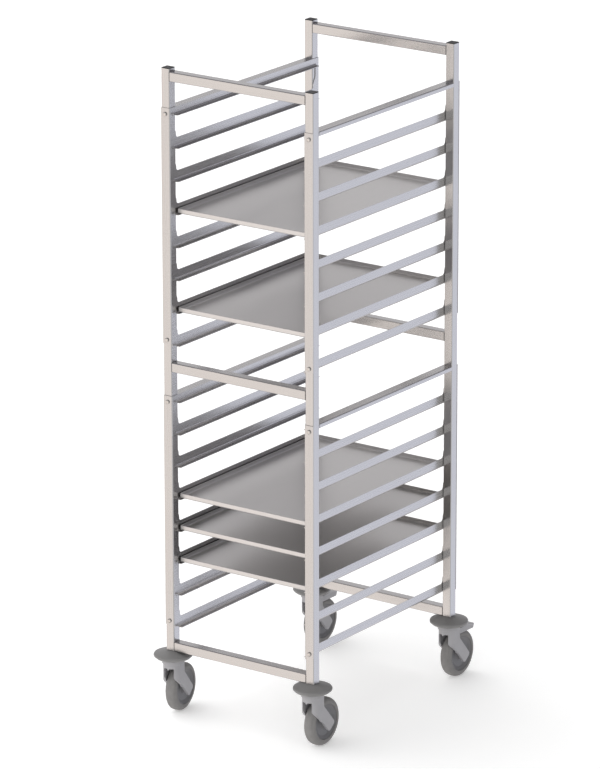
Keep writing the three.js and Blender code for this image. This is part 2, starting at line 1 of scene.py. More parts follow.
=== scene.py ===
"""Sheet pan rack: fine surfaces, materials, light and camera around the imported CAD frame.

Shapes are drawn in millimetres, in the frame's axes: X across, Y along the pans, Z up.
"""

import json
import math

import bmesh
import bpy
from mathutils import Matrix, Vector


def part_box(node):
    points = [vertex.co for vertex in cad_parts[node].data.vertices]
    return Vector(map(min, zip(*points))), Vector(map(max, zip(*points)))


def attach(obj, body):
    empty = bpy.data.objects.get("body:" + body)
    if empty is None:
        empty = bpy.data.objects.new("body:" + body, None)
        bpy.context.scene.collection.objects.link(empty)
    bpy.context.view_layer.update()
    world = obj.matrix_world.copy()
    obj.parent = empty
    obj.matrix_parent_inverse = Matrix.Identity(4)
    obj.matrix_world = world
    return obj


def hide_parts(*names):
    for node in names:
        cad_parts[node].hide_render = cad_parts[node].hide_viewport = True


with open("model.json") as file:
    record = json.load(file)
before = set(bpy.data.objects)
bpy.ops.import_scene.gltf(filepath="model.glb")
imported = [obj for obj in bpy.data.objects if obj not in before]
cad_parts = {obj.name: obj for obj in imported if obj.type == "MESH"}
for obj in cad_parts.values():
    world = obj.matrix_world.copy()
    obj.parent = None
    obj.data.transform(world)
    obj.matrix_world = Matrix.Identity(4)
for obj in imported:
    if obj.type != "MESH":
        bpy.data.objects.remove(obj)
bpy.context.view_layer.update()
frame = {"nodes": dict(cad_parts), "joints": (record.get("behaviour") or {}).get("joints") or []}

MM = 0.001
CORNERS = ("front_left", "front_right", "back_left", "back_right")

# ---------------------------------------------------------------- sizes the frame doesn't state

TUBE_WALL = 1.5
TUBE_CORNER = 2.5
RAIL_HEIGHTS = (0, 744.5, 1496)     # underside of each rail above the post foot
RAIL_INTO_POST = 0.8                # rail ends reach this far into the post's inner face
WELD_WIDTH = 1.6
WELD_HEIGHT = 0.2                   # weld bead above the tube's face

SHEET = 1.5
RUNNERS = 8
RUNNER_PITCH = 85.5
BAR_HEIGHT = 26
BEND_RADIUS = 6
RUNNER_REACH = 15
RUNNER_HALF_LENGTH = 306
WINDOW_HALF_LENGTH = 296
WINDOW_CORNER = 8
FLARE_RADIUS = 25
NOTCH_DROP = 29
SLIT_END = 318
TOP_LIP = 11
PANEL_EDGE = 1
FLANGE_EDGE = 8
CORNER_BEND = 3
SCREW_HOLE = 3.3

PAN_FILLET = 4
PAN_CORNER = 4

FORK_RADIUS = 29
FORK_HALF_WIDTH = 24
FORK_SLOT = 17.5
FORK_NOSE = -4.5                    # centre of the fork's round front, from the swivel axis
FORK_WINDOW_HALF = 14
FORK_WINDOW_TOP = -45
FORK_TOOTH_DROP = 3.5
ARM_LEAN = 49.3                     # degrees that the fork's arm drops below level
ARM_BEFORE_AXLE = 15                # the arm's two edges, square to its length
ARM_BEHIND_AXLE = 16
ARM_PAST_AXLE = 19.5                # its end, along its length
WEB_BEFORE_AXLE = 17.5              # the round web's edge, a little in front of the arm's
WEB_ENDS_ABOVE = 28                 # and its end, this far short of the axle
ARMPIT_Y = 16.3
ARMPIT_Z = -62
COLLAR_BASE = -36
COLLAR_TOP = -23.8
PIN_CLEARANCE = 7                   # radius of the hole round the swivel pin
DISC_RADIUS = 50
DISC_BASE = -23.5
WHEEL_TRAIL = 38.5
WHEEL_RADIUS = 62.5
TYRE_HALF_WIDTH = 15.5
TYRE_BORE = 46
RIM_RADIUS = 45.7
RIM_HALF_WIDTH = 15
HUB_RADIUS = 15.5
HUB_HALF_WIDTH = 16.9
AXLE_BORE = 6.3
PEDAL_PIVOT_Y = 10
PEDAL_PIVOT_Z = -47
PEDAL_HALF_WIDTH = 19
PEDAL_NECK_HALF = 17.2
PEDAL_PIN_HALF = 21
PEDAL_END = 89


def box_mm(node):
    low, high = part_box(node)
    return low / MM, high / MM


frame_low, frame_high = box_mm("front_frame")
_, back_high = box_mm("back_frame")
TUBE = frame_high.y - frame_low.y
POST_X = frame_high.x - TUBE / 2
POST_Y = (back_high.y - frame_low.y - TUBE) / 2
CENTRE_Y = (back_high.y + frame_low.y) / 2
POST_FOOT = frame_low.z
POST_LENGTH = frame_high.z - frame_low.z

# ---------------------------------------------------------------- outlines


def rounded(corners, steps=6):
    """Outline through corners (u, v, radius), each one replaced by an arc tangent to its sides."""
    outline = []
    for i, (u, v, radius) in enumerate(corners):
        here = Vector((u, v))
        if not radius:
            outline.append(here)
            continue
        before = (Vector(corners[i - 1][:2]) - here).normalized()
        after = (Vector(corners[(i + 1) % len(corners)][:2]) - here).normalized()
        half = before.angle(after) / 2
        centre = here + (before + after).normalized() * radius / math.sin(half)
        start = here + before * radius / math.tan(half) - centre
        end = here + after * radius / math.tan(half) - centre
        first = math.atan2(start.y, start.x)
        turn = (math.atan2(end.y, end.x) - first + math.pi) % (2 * math.pi) - math.pi
        for k in range(steps + 1):
            angle = first + turn * k / steps
            outline.append(centre + radius * Vector((math.cos(angle), math.sin(angle))))
    return outline


def rounded_box(width, depth, radius, u=0, v=0):
    w = width / 2
    d = depth / 2
    return rounded([(u - w, v - d, radius), (u + w, v - d, radius),
                    (u + w, v + d, radius), (u - w, v + d, radius)])


def rectangle(u0, u1, v0, v1):
    return [Vector(p) for p in ((u0, v0), (u1, v0), (u1, v1), (u0, v1))]


def circle(radius, u=0, v=0, segments=64):
    turns = (2 * math.pi * k / segments for k in range(segments))
    return [Vector((u + radius * math.cos(a), v + radius * math.sin(a))) for a in turns]


def arc_angles(first, last, steps):
    """Angles in radians, evenly from first to last degrees."""
    return [math.radians(first + (last - first) * k / steps) for k in range(steps + 1)]


def both_sides(half):
    """Half of a section, as corners (radius, along, corner radius), and its mirror image."""
    return half + [(radius, -along, corner) for radius, along, corner in reversed(half)]


# ---------------------------------------------------------------- mesh building

TO_AXES = {
    "Z": lambda u, v, w: (u, v, w),
    "X": lambda u, v, w: (w, u, v),
    "Y": lambda u, v, w: (u, w, v),
}


def skin(bm, rings, closed=False, material=0):
    """Quads between rings of matching points. closed joins the last ring to the first,
    and otherwise the two ends are capped."""
    rows = [[bm.verts.new(p) for p in ring] for ring in rings]
    count = len(rows[0])
    pairs = list(zip(rows, rows[1:]))
    faces = []
    if closed:
        pairs.append((rows[-1], rows[0]))
    else:
        faces = [bm.faces.new(rows[0]), bm.faces.new(rows[-1])]
    for low, high in pairs:
        for i in range(count):
            j = (i + 1) % count
            faces.append(bm.faces.new((low[i], low[j], high[j], high[i])))
    for face in faces:
        face.material_index = material


def prism(bm, axis, outline, low, high, material=0):
    """Outline swept along an axis: (x, y) along Z, (y, z) along X, (x, z) along Y."""
    place = TO_AXES[axis]
    skin(bm, [[place(p.x, p.y, w) for p in outline] for w in (low, high)], material=material)


def turned(bm, profile, segments=96, closed=False, axis="Z"):
    """Profile points (radius, height) turned about an axis."""
    place = TO_AXES[axis]
    rings = []
    for radius, height in profile:
        rings.append([place(p.x, p.y, height) for p in circle(radius, segments=segments)])
    skin(bm, rings, closed)


def solid(name, draw, materials=()):
    """An object in the rack's frame, in metres, from a function that draws in millimetres."""
    bm = bmesh.new()
    draw(bm)
    bmesh.ops.recalc_face_normals(bm, faces=bm.faces)
    mesh = bpy.data.meshes.new(name)
    bm.to_mesh(mesh)
    bm.free()
    mesh.transform(Matrix.Scale(MM, 4))
    for material in materials:
        mesh.materials.append(material)
    piece = bpy.data.objects.new(name, mesh)
    bpy.context.scene.collection.objects.link(piece)
    return piece


def settle(piece):
    """Applies the piece's modifiers to its mesh."""
    depsgraph = bpy.context.evaluated_depsgraph_get()
    mesh = bpy.data.meshes.new_from_object(piece.evaluated_get(depsgraph), depsgraph=depsgraph)
    piece.modifiers.clear()
    piece.data = mesh


def combine(piece, operation, draw):
    """Boolean of the piece with the closed shapes that draw makes."""
    tool = solid("tool", draw, piece.data.materials)
    modifier = piece.modifiers.new("combine", "BOOLEAN")
    modifier.solver = "EXACT"
    modifier.use_self = True
    modifier.material_mode = "INDEX"
    modifier.operation = operation
    modifier.object = tool
    settle(piece)
    bpy.data.objects.remove(tool)


def merge_flats(piece):
    """Joins coplanar triangles that a boolean left."""
    bm = bmesh.new()
    bm.from_mesh(piece.data)
    bmesh.ops.remove_doubles(bm, verts=bm.verts, dist=0.01 * MM)
    bmesh.ops.dissolve_limit(bm, angle_limit=math.radians(0.5), verts=bm.verts, edges=bm.edges,
                             delimit={"MATERIAL"})
    bm.to_mesh(piece.data)
    bm.free()


def soften(piece, edge=0.0, sharp=35):
    """Rounds edges by edge millimetres and shades the rest smooth, flats kept flat."""
    piece.data.polygons.foreach_set("use_smooth", [True] * len(piece.data.polygons))
    if edge:
        bevel = piece.modifiers.new("edges", "BEVEL")
        bevel.limit_method = "ANGLE"
        bevel.angle_limit = math.radians(sharp)
        bevel.width = edge * MM
        bevel.segments = 3
    else:
        piece.data.set_sharp_from_angle(angle=math.radians(sharp))
    weighted = piece.modifiers.new("normals", "WEIGHTED_NORMAL")
    weighted.mode = "FACE_AREA_WITH_ANGLE"
    weighted.weight = 90
    weighted.keep_sharp = True
    settle(piece)


def lift(y, x=0.0, height=0.0):
    """To a place on the rack, with its height given above the post foot."""
    return Matrix.Translation((x, y, POST_FOOT + height))


def move(piece, transform):
    """Moves the piece's mesh by a transform in millimetres."""
    shift = transform.copy()
    shift.translation *= MM
    piece.data.transform(shift)


def copy_piece(piece, name, transform):
    """The same shape again, placed by a transform in millimetres."""
    copy = bpy.data.objects.new(name, piece.data.copy())
    move(copy, transform)
    bpy.context.scene.collection.objects.link(copy)
    return copy


def stand_for(piece, body, slot, *nodes):
    """The piece replaces these CAD nodes and rides on a body. slot is not used."""
    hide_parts(*nodes)
    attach(piece, body)


# ---------------------------------------------------------------- materials


class Finish:
    """A material with a Principled shader, and the noise that varies it."""

    def __init__(self, name, colour, metallic, roughness):
        self.material = bpy.data.materials.new(name)
        self.material.use_nodes = True
        self.tree = self.material.node_tree
        self.shader = self.tree.nodes["Principled BSDF"]
        self.shader.inputs["Base Color"].default_value = (*colour, 1)
        self.shader.inputs["Metallic"].default_value = metallic
        self.shader.inputs["Roughness"].default_value = roughness
        self.coordinates = self.tree.nodes.new("ShaderNodeTexCoord")
        self.normal = None

    def noise(self, per_metre, detail=2.0):
        """Noise with so many features per metre along each axis."""
        mapping = self.tree.nodes.new("ShaderNodeMapping")
        mapping.inputs["Scale"].default_value = per_metre
        noise = self.tree.nodes.new("ShaderNodeTexNoise")
        noise.inputs["Scale"].default_value = 1.0
        noise.inputs["Detail"].default_value = detail
        self.tree.links.new(self.coordinates.outputs["Object"], mapping.inputs["Vector"])
        self.tree.links.new(mapping.outputs["Vector"], noise.inputs["Vector"])
        return noise.outputs["Fac"]

    def spread(self, source, low, high):
        """The middle of the noise's range stretched to run from low to high."""
        stretch = self.tree.nodes.new("ShaderNodeMapRange")
        stretch.inputs["From Min"].default_value = 0.3
        stretch.inputs["From Max"].default_value = 0.7
        stretch.inputs["To Min"].default_value = low
        stretch.inputs["To Max"].default_value = high
        self.tree.links.new(source, stretch.inputs["Value"])
        return stretch.outputs["Result"]

    def vary_colour(self, source, dark, light):
        ramp = self.tree.nodes.new("ShaderNodeValToRGB")
        ramp.color_ramp.elements[0].position = 0.3
        ramp.color_ramp.elements[0].color = (*dark, 1)
        ramp.color_ramp.elements[1].position = 0.7
        ramp.color_ramp.elements[1].color = (*light, 1)
        self.tree.links.new(source, ramp.inputs["Fac"])
        self.tree.links.new(ramp.outputs["Color"], self.shader.inputs["Base Color"])

    def vary_roughness(self, source, low, high):
        self.tree.links.new(self.spread(source, low, high), self.shader.inputs["Roughness"])

    def bump(self, source, depth, strength=1.0):
        """Relief of so many millimetres."""
        bump = self.tree.nodes.new("ShaderNodeBump")
        bump.inputs["Strength"].default_value = strength
        bump.inputs["Distance"].default_value = depth * MM
        self.tree.links.new(source, bump.inputs["Height"])
        if self.normal:
            self.tree.links.new(self.normal, bump.inputs["Normal"])
        self.normal = bump.outputs["Normal"]
        self.tree.links.new(self.normal, self.shader.inputs["Normal"])


def shade(colour, factor):
    return tuple(min(1.0, c * factor) for c in colour)


def grain_scale(along, across_per_metre, along_per_metre):
    return tuple(along_per_metre if axis == along else across_per_metre for axis in "XYZ")


def brushed_steel(name, colour, along, roughness=0.34):
    """Ground stainless steel: fine scratches one way, and broad faint streaks."""
    finish = Finish(name, colour, 1.0, roughness)
    streaks = finish.noise(grain_scale(along, 220, 1.6), 3)
    scratches = finish.noise(grain_scale(along, 2600, 18), 2)
    finish.vary_colour(streaks, shade(colour, 0.985), shade(colour, 1.01))
    finish.vary_roughness(scratches, roughness - 0.05, roughness + 0.07)
    finish.bump(scratches, 0.012, 0.5)
    return finish.material


def satin_aluminium():
    """Rolled pan sheet: cloudy, with faint rolling lines along the pan."""
    colour = (0.65, 0.635, 0.625)
    finish = Finish("pan_aluminium", colour, 0.85, 0.34)
    clouds = finish.noise((9, 5, 9), 4)
    lines = finish.noise((1500, 12, 1500), 2)
    finish.vary_colour(clouds, shade(colour, 0.95), shade(colour, 1.03))
    finish.vary_roughness(clouds, 0.28, 0.38)
    finish.bump(lines, 0.01, 0.4)
    return finish.material


def plain_steel(name, colour, roughness):
    """Zinc-plated or machined steel with fine tool marks."""
    finish = Finish(name, colour, 1.0, roughness)
    marks = finish.noise((900, 900, 900), 3)
    finish.vary_colour(marks, shade(colour, 0.9), shade(colour, 1.05))
    finish.vary_roughness(marks, roughness - 0.06, roughness + 0.08)
    finish.bump(marks, 0.01, 0.5)
    return finish.material


def moulded_plastic(name, colour, roughness, texture=0.02):
    """Moulded plastic: fine spark texture, faint flow clouds."""
    finish = Finish(name, colour, 0.0, roughness)
    clouds = finish.noise((22, 22, 22), 4)
    pores = finish.noise((1400, 1400, 1400), 2)
    finish.vary_colour(clouds, shade(colour, 0.93), shade(colour, 1.05))
    finish.vary_roughness(clouds, roughness - 0.05, roughness + 0.06)
    finish.bump(pores, texture, 0.6)
    return finish.material


def tyre_rubber():
    """Grey thermoplastic rubber: matt, a little scuffed."""
    colour = (0.21, 0.203, 0.198)
    finish = Finish("tyre_rubber", colour, 0.0, 0.66)
    scuffs = finish.noise((60, 60, 60), 5)
    pores = finish.noise((1100, 1100, 1100), 2)
    finish.vary_colour(scuffs, shade(colour, 0.9), shade(colour, 1.08))
    finish.vary_roughness(scuffs, 0.58, 0.74)
    finish.bump(pores, 0.03, 0.6)
    return finish.material


STEEL = (0.56, 0.55, 0.545)
TUBE_UPRIGHT = brushed_steel("tube_steel_upright", STEEL, "Z", 0.2)
TUBE_LEVEL = brushed_steel("tube_steel_level", STEEL, "X", 0.2)
# Weld bead steel, dark as painted shade where the rails meet the posts.
WELD_PAINTED_SHADE = plain_steel("weld_painted_shade", (0.2, 0.19, 0.185), 0.5)
SHEET_LEVEL = brushed_steel("sheet_steel_level", STEEL, "Y", 0.26)
SHEET_UPRIGHT = brushed_steel("sheet_steel_upright", STEEL, "Z", 0.26)
PAN_METAL = satin_aluminium()
SCREW_STEEL = plain_steel("screw_steel", (0.68, 0.65, 0.62), 0.3)
AXLE_STEEL = plain_steel("axle_steel", (0.42, 0.42, 0.43), 0.34)
CAP_PLASTIC = moulded_plastic("cap_plastic", (0.012, 0.012, 0.013), 0.5)
BUMPER_PLASTIC = moulded_plastic("bumper_plastic", (0.19, 0.186, 0.184), 0.4, 0.015)
FORK_PLASTIC = moulded_plastic("fork_plastic", (0.37, 0.362, 0.375), 0.46)
RIM_PLASTIC = moulded_plastic("rim_plastic", (0.17, 0.168, 0.175), 0.5)
TYRE_RUBBER = tyre_rubber()

# ---------------------------------------------------------------- end frames


def draw_posts(bm):
    for x in (-POST_X, POST_X):
        prism(bm, "Z", rounded_box(TUBE, TUBE, TUBE_CORNER, x), 0, POST_LENGTH)


def draw_rails(bm):
    reach = POST_X - TUBE / 2 + RAIL_INTO_POST
    for height in RAIL_HEIGHTS:
        outline = rounded_box(TUBE, TUBE, TUBE_CORNER, 0, height + TUBE / 2)
        prism(bm, "X", outline, -reach, reach, material=1)


def draw_welds(bm):
    """A low weld bead round each end of each rail, its dark steel a painted shade of the joint."""
    seam = POST_X - TUBE / 2
    side = TUBE + 2 * WELD_HEIGHT
    for height in RAIL_HEIGHTS:
        outline = rounded_box(side, side, TUBE_CORNER, 0, height + TUBE / 2)
        prism(bm, "X", outline, seam - WELD_WIDTH / 2, seam + WELD_WIDTH / 2, material=2)
        prism(bm, "X", outline, -seam - WELD_WIDTH / 2, -seam + WELD_WIDTH / 2, material=2)


def draw_bores(bm):
    bore = TUBE - 2 * TUBE_WALL
    for x in (-POST_X, POST_X):
        prism(bm, "Z", rounded_box(bore, bore, TUBE_CORNER - TUBE_WALL, x), -1, POST_LENGTH + 1)
    for height in RAIL_HEIGHTS:
        outline = rounded_box(bore, bore, TUBE_CORNER - TUBE_WALL, 0, height + TUBE / 2)
        end = POST_X - TUBE / 2 - 0.5
        prism(bm, "X", outline, -end, end, material=1)


def make_end_frames():
    first = solid("front_frame_tube", draw_posts, (TUBE_UPRIGHT, TUBE_LEVEL, WELD_PAINTED_SHADE))
    combine(first, "UNION", draw_rails)
    combine(first, "UNION", draw_welds)
    combine(first, "DIFFERENCE", draw_bores)
    merge_flats(first)
    soften(first)
    second = copy_piece(first, "back_frame_tube", lift(CENTRE_Y + POST_Y))
    move(first, lift(CENTRE_Y - POST_Y))
    stand_for(first, "rack_frame", "tube_steel", "front_frame")
    stand_for(second, "rack_frame", "tube_steel", "back_frame")


def draw_end_cap(bm):
    plug = TUBE - 2 * TUBE_WALL - 0.6
    rings = []
    for side, radius, z in ((plug - 1.5, 1, -12), (plug, 1, -10.5), (plug, 1, 0.3),
                            (TUBE - 0.6, 2.2, 0.3), (TUBE, 2.5, 0.6), (TUBE, 2.5, 1.1),
                            (TUBE - 0.5, 2.3, 1.5), (TUBE - 1.4, 2, 1.75), (TUBE - 4, 1.5, 1.8)):
        rings.append([(p.x, p.y, z) for p in rounded_box(side, side, radius)])
    skin(bm, rings)


def make_end_caps():
    for corner in CORNERS:
        node = "end_cap_" + corner
        low, high = box_mm(node)
        centre = (low + high) / 2
        cap = solid(node + "_moulded", draw_end_cap, (CAP_PLASTIC,))
        move(cap, lift(centre.y, centre.x, POST_LENGTH))
        soften(cap)
        stand_for(cap, "rack_frame", "cap_plastic", node)


# ---------------------------------------------------------------- side panels

panel_low, panel_high = box_mm("side_panel_upper_right")
PANEL_HEIGHT = panel_high.z - panel_low.z
POST_INNER_X = POST_X - TUBE / 2
POST_OUTER_X = POST_X + TUBE / 2
WEB_OUT = POST_INNER_X - 0.3
WEB_IN = WEB_OUT - SHEET
FLANGE_OUT = (panel_high.y - panel_low.y) / 2
FLANGE_IN = FLANGE_OUT - SHEET
WEB_END = FLANGE_OUT - CORNER_BEND
BEND_TOP = SHEET + BEND_RADIUS
SCREW_HEIGHTS = (18, PANEL_HEIGHT - 16)


def web_outline():
    return rounded([
        (-WEB_END, PANEL_EDGE, 0), (-RUNNER_HALF_LENGTH, PANEL_EDGE, 0),
        (-RUNNER_HALF_LENGTH, BEND_TOP, 0), (RUNNER_HALF_LENGTH, BEND_TOP, 0),
        (RUNNER_HALF_LENGTH, PANEL_EDGE, 0), (WEB_END, PANEL_EDGE, 0),
        (WEB_END, PANEL_HEIGHT, 0), (-WEB_END, PANEL_HEIGHT, 0)])


def window_outline(sill, runner):
    """Opening between two runners in (y, z): round lower corners, a flare out to the wider
    notch, and a relief slit each side of the runner above."""
    flare = FLARE_RADIUS * 0.7
    notch = runner - NOTCH_DROP
    half = [
        (WINDOW_HALF_LENGTH, sill, WINDOW_CORNER),
        (WINDOW_HALF_LENGTH, notch - 17, flare),
        (RUNNER_HALF_LENGTH, notch, flare),
        (RUNNER_HALF_LENGTH, runner - PANEL_EDGE, 0),
        (SLIT_END, runner - PANEL_EDGE, 0),
        (SLIT_END, runner + PANEL_EDGE, 0),
        (RUNNER_HALF_LENGTH, runner + PANEL_EDGE, 0),
        (RUNNER_HALF_LENGTH, runner + BEND_TOP, 0),
    ]
    mirrored = [(-y, z, radius) for y, z, radius in reversed(half)]
    return rounded(half + mirrored)


def draw_web(bm):
    prism(bm, "X", web_outline(), WEB_IN, WEB_OUT)


def draw_windows(bm):
    for level in range(RUNNERS - 1):
        sill = level * RUNNER_PITCH + BAR_HEIGHT
        prism(bm, "X", window_outline(sill, (level + 1) * RUNNER_PITCH), WEB_IN - 9, WEB_OUT + 9)


def draw_runners(bm):
    """Each runner's section in (x, z): a wide bend out of the web, then a flat tongue."""
    tip = POST_INNER_X - RUNNER_REACH
    for level in range(RUNNERS):
        z = level * RUNNER_PITCH
        root = z + BEND_TOP + 2 * SHEET
        section = rounded([
            (tip, z, 0.5), (WEB_OUT, z, BEND_RADIUS + SHEET), (WEB_OUT, root, 0),
            (WEB_IN, root, 0), (WEB_IN, z + SHEET, BEND_RADIUS), (tip, z + SHEET, 0.5)], 8)
        prism(bm, "Y", section, -RUNNER_HALF_LENGTH, RUNNER_HALF_LENGTH)


def draw_flanges(bm):
    """Each end of the web bent round the post's corner and out over its face, in (x, y)."""
    root = WEB_END - 2 * CORNER_BEND
    inside = CORNER_BEND - SHEET
    for side in (-1, 1):
        section = rounded([
            (POST_OUTER_X, side * FLANGE_OUT, 0.4), (WEB_IN, side * FLANGE_OUT, CORNER_BEND),
            (WEB_IN, side * root, 0), (WEB_OUT, side * root, 0),
            (WEB_OUT, side * FLANGE_IN, inside * 0.5), (POST_OUTER_X, side * FLANGE_IN, 0.4)], 8)
        prism(bm, "Z", section, FLANGE_EDGE, PANEL_HEIGHT, material=1)


def draw_top_flange(bm):
    """Top edge bent out over the panel and down again as a lip, in (x, z)."""
    reach = POST_Y - TUBE / 2 - 0.3
    top = PANEL_HEIGHT
    section = rounded([
        (WEB_IN, top, 2.5), (WEB_IN, top - 8, 0), (WEB_OUT, top - 8, 0),
        (WEB_OUT, top - SHEET, 1), (POST_OUTER_X - SHEET, top - SHEET, 1),
        (POST_OUTER_X - SHEET, top - TOP_LIP, 0.5), (POST_OUTER_X, top - TOP_LIP, 0.5),
        (POST_OUTER_X, top, 2.5)], 8)
    prism(bm, "Y", section, -reach, reach)


def draw_screw_holes(bm):
    for z in SCREW_HEIGHTS:
        for side in (-1, 1):
            ends = sorted((side * (FLANGE_IN - 1), side * (FLANGE_OUT + 1)))
            prism(bm, "Y", circle(SCREW_HOLE, POST_X, z, 24), *ends)


def make_side_panels():
    pattern = solid("panel_pattern", draw_web, (SHEET_LEVEL, SHEET_UPRIGHT))
    combine(pattern, "DIFFERENCE", draw_windows)
    combine(pattern, "UNION", draw_top_flange)
    combine(pattern, "UNION", draw_flanges)
    combine(pattern, "UNION", draw_runners)
    combine(pattern, "DIFFERENCE", draw_screw_holes)
    merge_flats(pattern)
    soften(pattern, sharp=25)
    for row in ("upper", "lower"):
        for side, turn in (("right", 0), ("left", math.pi)):
            node = f"side_panel_{row}_{side}"
            low, _ = box_mm(node)
            place = Matrix.Translation((0, CENTRE_Y, low.z)) @ Matrix.Rotation(turn, 4, "Z")
            panel = copy_piece(pattern, node + "_sheet", place)
            stand_for(panel, "rack_frame", "sheet_steel", node)
    bpy.data.objects.remove(pattern)


# ---------------------------------------------------------------- panel screws

SCREW_HEAD = 5.25
SCREW_HEAD_HEIGHT = 3.3
SCREW_SHANK = 3
SCREW_LENGTH = 12
HEX_SOCKET = 1.9
SOCKET_DEPTH = 0.4


def draw_screw(bm):
    """Button head seated on z = 0, dome up, shank down."""
    flat = 3.8
    dome = rounded([
        (SCREW_HEAD, 0, 0.4), (SCREW_HEAD, 1.6, 0.8), (flat, SCREW_HEAD_HEIGHT, 0.8)], 8)
    shank = [(SCREW_SHANK - 0.6, -SCREW_LENGTH), (SCREW_SHANK, -SCREW_LENGTH + 0.6), (SCREW_SHANK, 0)]
    head = [(p.x, p.y) for p in dome if p.y > 0.01 and p.x > flat]
    turned(bm, shank + [(SCREW_HEAD - 0.3, 0)] + head + [(flat - 0.3, SCREW_HEAD_HEIGHT)], 48)


def draw_hex_socket(bm):
    prism(bm, "Z", circle(HEX_SOCKET, segments=6), SCREW_HEAD_HEIGHT - SOCKET_DEPTH,
          SCREW_HEAD_HEIGHT + 1)


def make_screws():
    pattern = solid("screw_pattern", draw_screw, (SCREW_STEEL,))
    combine(pattern, "DIFFERENCE", draw_hex_socket)
    soften(pattern, sharp=40)
    for corner in CORNERS:
        for number in range(1, 5):
            node = f"panel_screw_{corner}_{number}"
            low, high = box_mm(node)
            centre = (low + high) / 2
            back = corner.startswith("back")
            seat = high.y - SCREW_HEAD_HEIGHT if back else low.y + SCREW_HEAD_HEIGHT
            tilt = math.radians(-90 if back else 90)
            place = Matrix.Translation((centre.x, seat, centre.z)) @ Matrix.Rotation(tilt, 4, "X")
            screw = copy_piece(pattern, node + "_button_head", place)
            stand_for(screw, "rack_frame", "screw_steel", node)
    bpy.data.objects.remove(pattern)


# ---------------------------------------------------------------- sheet pans


def draw_pan(width, length, height):
    """A shallow pan: filleted foot, upright wall, rounded rim, filleted floor."""
    def draw(bm):
        lip = SHEET / 2
        foot = [(PAN_FILLET * (1 - math.sin(a)), PAN_FILLET * (1 - math.cos(a)))
                for a in arc_angles(0, 90, 6)]
        rim = [(lip * (1 - math.cos(a)), height - lip + lip * math.sin(a))
               for a in arc_angles(0, 180, 8)]
        floor = [(SHEET + PAN_FILLET * (1 - math.cos(a)), SHEET + PAN_FILLET * (1 - math.sin(a)))
                 for a in arc_angles(0, 90, 6)]
        rings = []
        for inset, z in foot + rim + floor:
            radius = max(0.4, PAN_CORNER - inset * 0.8)
            plan = rounded_box(width - 2 * inset, length - 2 * inset, radius)
            rings.append([(p.x, p.y, z) for p in plan])
        skin(bm, rings)
    return draw


def make_pans():
    for node in sorted(n for n in frame["nodes"] if n.startswith("sheet_pan_")):
        low, high = box_mm(node)
        size = high - low
        pan = solid(node + "_pressed", draw_pan(size.x, size.y, size.z), (PAN_METAL,))
        centre = (low + high) / 2
        move(pan, Matrix.Translation((centre.x, centre.y, low.z)))
        soften(pan, sharp=50)
        stand_for(pan, node.replace("sheet_pan", "pan"), "pan_metal", node)


# ---------------------------------------------------------------- castors
# Drawn about the swivel axis, z = 0 at the post foot, wheel trailing towards +Y.

AXLE_Z = WHEEL_RADIUS - POST_FOOT


def castor_place(corner):
    """Where a castor stands, and which way its wheel points, from the frame."""
    low, high = box_mm("castor_stem_" + corner)
    centre = (low + high) / 2
    spin = next(j for j in frame["joints"] if j["name"] == "wheel_spin_" + corner)
    turn = math.atan2(spin["axis"][1], spin["axis"][0])
    return lift(centre.y, centre.x) @ Matrix.Rotation(turn, 4, "Z")


def draw_disc(bm):
    """Section (radius, height): a low dome above, rising below to a thinner rim."""
    profile = rounded([
        (PIN_CLEARANCE, DISC_BASE, 0.5), (30, DISC_BASE, 3), (44, -21, 3),
        (DISC_RADIUS, -15.5, 2), (DISC_RADIUS, -12, 1.5), (DISC_RADIUS - 1.2, -9.8, 1),
        (17, -0.6, 12), (PIN_CLEARANCE, -0.3, 0.3)], 8)
    turned(bm, profile, 128, closed=True)


def fork_side_outline():
    """Side view in (y, z): round collar above, one wide arm down past the axle, with a step
    in its front edge where the round web ends."""
    lean = math.radians(ARM_LEAN)
    along = Vector((math.cos(lean), -math.sin(lean)))
    across = Vector((math.sin(lean), math.cos(lean)))
    axle = Vector((WHEEL_TRAIL, AXLE_Z))
    web_end = axle - along * WEB_ENDS_ABOVE - across * WEB_BEFORE_AXLE
    step = axle - along * WEB_ENDS_ABOVE - across * ARM_BEFORE_AXLE
    front = axle + along * ARM_PAST_AXLE - across * ARM_BEFORE_AXLE
    back = axle + along * ARM_PAST_AXLE + across * ARM_BEHIND_AXLE
    return rounded([
        (-FORK_RADIUS, COLLAR_BASE + 1.5, 0), (-FORK_RADIUS, -68, 2), (-25, -69, 2),
        (-3, -91.5, 2), (0, -92.5, 0), (*web_end, 0.4), (*step, 0.4), (*front, 6), (*back, 7),
        (ARMPIT_Y, ARMPIT_Z, 6), (ARMPIT_Y, COLLAR_BASE + 1.5, 0)])


def draw_fork_arms(bm):
    prism(bm, "X", fork_side_outline(), -FORK_HALF_WIDTH, FORK_HALF_WIDTH)


def nose_plan(half_width):
    """Fork or slot in plan: a round nose in front and straight sides behind."""
    nose = [Vector((half_width * math.cos(a), FORK_NOSE + half_width * math.sin(a)))
            for a in arc_angles(180, 360, 48)]
    return [*nose, Vector((half_width, POST_FOOT)), Vector((-half_width, POST_FOOT))]


def draw_fork_plan(bm):
    prism(bm, "Z", nose_plan(FORK_HALF_WIDTH), -POST_FOOT, 0)


def draw_fork_collar(bm):
    profile = rounded([
        (FORK_RADIUS - 2, COLLAR_BASE, 1.2), (FORK_RADIUS, COLLAR_BASE + 1.2, 1),
        (FORK_RADIUS, COLLAR_TOP, 1.2), (PIN_CLEARANCE, COLLAR_TOP, 0),
        (PIN_CLEARANCE, COLLAR_BASE, 0)], 5)
    turned(bm, profile, 96, closed=True)


def draw_fork_slot(bm):
    """Room for the wheel, open below and behind."""
    prism(bm, "Z", nose_plan(FORK_SLOT), -POST_FOOT, COLLAR_BASE - SHEET)


